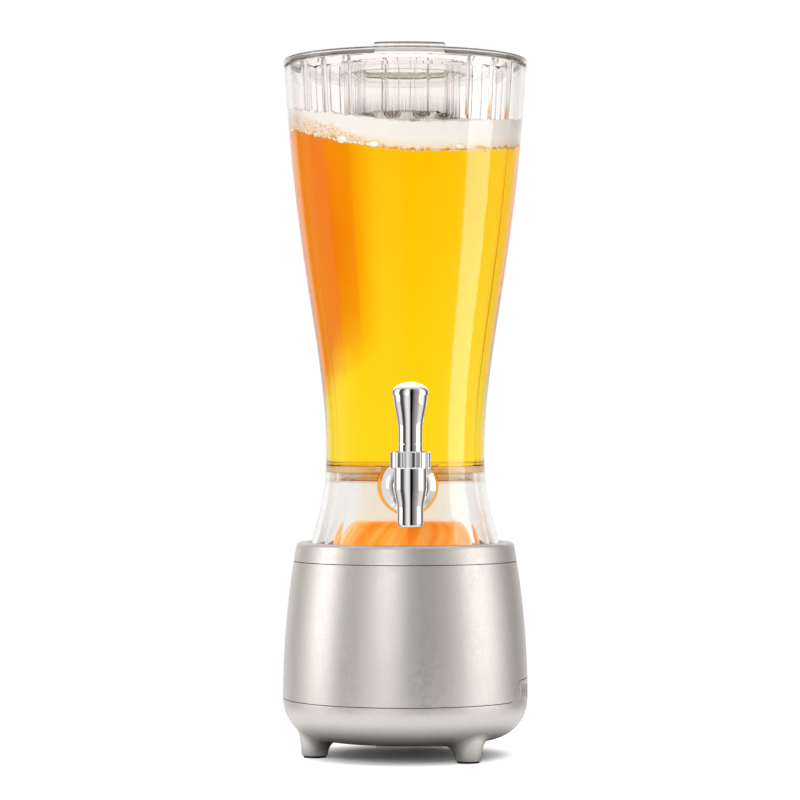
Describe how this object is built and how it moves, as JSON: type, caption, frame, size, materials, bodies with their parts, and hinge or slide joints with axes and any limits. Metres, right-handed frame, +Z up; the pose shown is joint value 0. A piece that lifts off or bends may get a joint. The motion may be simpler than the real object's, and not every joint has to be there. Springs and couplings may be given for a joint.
{
  "type": "beer tower dispenser",
  "caption": "Tall waisted clear drinks tower with a chrome lever tap at the front, a lidded mouth with a fluted ice cup, on a satin silver lamp base with round feet.",
  "frame": {"origin": "on the upright axis of the tower, at table height", "axes": "+Z up, -Y towards the tap at the front, +X to the right seen from the front"},
  "size_m": [0.1659, 0.1884, 0.4714],
  "materials": {
    "silver_paint": "satin",
    "clear_plastic": "gloss",
    "amber_plastic": "gloss",
    "white_plastic": "satin",
    "black_plastic": "matte",
    "soft_rubber": "matte",
    "clear_silicone": "satin",
    "bright_chrome": "polished",
    "steel": "satin",
    "board": "satin",
    "lamp": "gloss",
    "cell": "gloss",
    "lead": "satin"
  },
  "bodies": {
    "base": {"base_shell": "silver_paint", "base_collar": "silver_paint", "bottom_pan": "silver_paint", "foot_pads": "soft_rubber", "base_screws": "steel", "collar_screws": "steel", "lamp_dome": "amber_plastic", "led_tray": "white_plastic", "tray_screws": "steel", "led_board": "board", "leds": "lamp", "battery_holder": "black_plastic", "battery_contacts": "steel", "batteries": "cell", "switch_body": "black_plastic", "lamp_leads": "lead", "switch_leads": "lead"},
    "door": {"battery_door": "silver_paint"},
    "button": {"lamp_button": "silver_paint"},
    "glide": {"seat_ring": "clear_silicone"},
    "vessel": {"vessel": "clear_plastic", "outer_gasket": "clear_silicone", "tap_escutcheon": "bright_chrome", "tap_body": "bright_chrome", "inner_gasket": "clear_silicone", "shank_nut": "white_plastic", "bonnet_nut": "bright_chrome", "stem_gland": "white_plastic", "stem_oring": "soft_rubber", "return_spring": "steel"},
    "handle": {"handle_foot": "bright_chrome", "handle_grip": "bright_chrome", "pivot_pins": "steel", "lift_pin": "steel"},
    "stem": {"tap_stem": "steel", "seat_cup": "clear_silicone"},
    "lid": {"lid": "clear_plastic", "lid_gasket": "clear_silicone"},
    "ice_cup": {"ice_cup": "clear_plastic"}
  },
  "joints": [
    {"name": "vessel_turn", "type": "hinge", "parent": "base", "child": "glide", "pos_m": [0, 0, 0.131], "axis": [0, 0, 1], "continuous": true},
    {"name": "vessel_lift", "type": "slide", "parent": "glide", "child": "vessel", "axis": [0, 0, 1], "range_m": [0, 0.06]},
    {"name": "lid_lift", "type": "slide", "parent": "vessel", "child": "lid", "axis": [0, 0, 1], "range_m": [0, 0.09]},
    {"name": "cup_lift", "type": "slide", "parent": "lid", "child": "ice_cup", "axis": [0, 0, 1], "range_m": [0, 0.06]},
    {"name": "handle_tilt", "type": "hinge", "parent": "vessel", "child": "handle", "pos_m": [0, -0.0925, 0.2024], "axis": [1, 0, 0], "range_deg": [0, 22], "stiffness_Nm_per_rad": 0.1, "springref_deg": -14.32},
    {"name": "stem_lift", "type": "slide", "parent": "vessel", "child": "stem", "axis": [0, 0, 1], "range_m": [0, 0.0023], "deforming": ["return_spring"]},
    {"name": "button_press", "type": "slide", "parent": "base", "child": "button", "axis": [-0.9848, -0.1736, 0], "range_m": [0, 0.001], "stiffness_N_per_m": 400, "springref_m": -0.001},
    {"name": "door_slide", "type": "slide", "parent": "base", "child": "door", "axis": [0.9848, 0.1736, 0], "range_m": [0, 0.06]}
  ],
  "couplings": [
    {"joint": "stem_lift", "follows": "handle_tilt", "m_per_rad": 0.0058}
  ]
}
